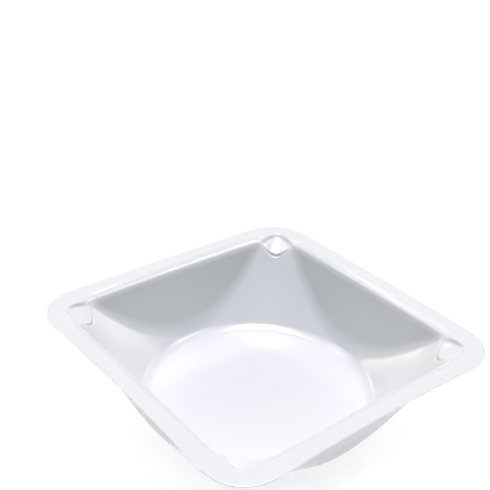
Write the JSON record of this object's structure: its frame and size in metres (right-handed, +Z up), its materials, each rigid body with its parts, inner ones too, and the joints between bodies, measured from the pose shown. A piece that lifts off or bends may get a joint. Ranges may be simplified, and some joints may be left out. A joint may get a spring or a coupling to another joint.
{
  "type": "weighing boat",
  "caption": "Shallow square weighing boat in thin glossy plastic: round flat base, slanting walls, corner pockets for stacking and a flat rim, for weighing out powders and grains.",
  "frame": {"origin": "middle of the underside of the base, on the surface the boat stands on", "axes": "+Z up, out of the open top; +X and +Y square to two of the four flat walls"},
  "size_m": [0.0992, 0.0992, 0.025],
  "materials": {
    "sheet": "glossy, slightly translucent white formed polystyrene"
  },
  "bodies": {
    "root": {"boat": "sheet"}
  },
  "joints": []
}
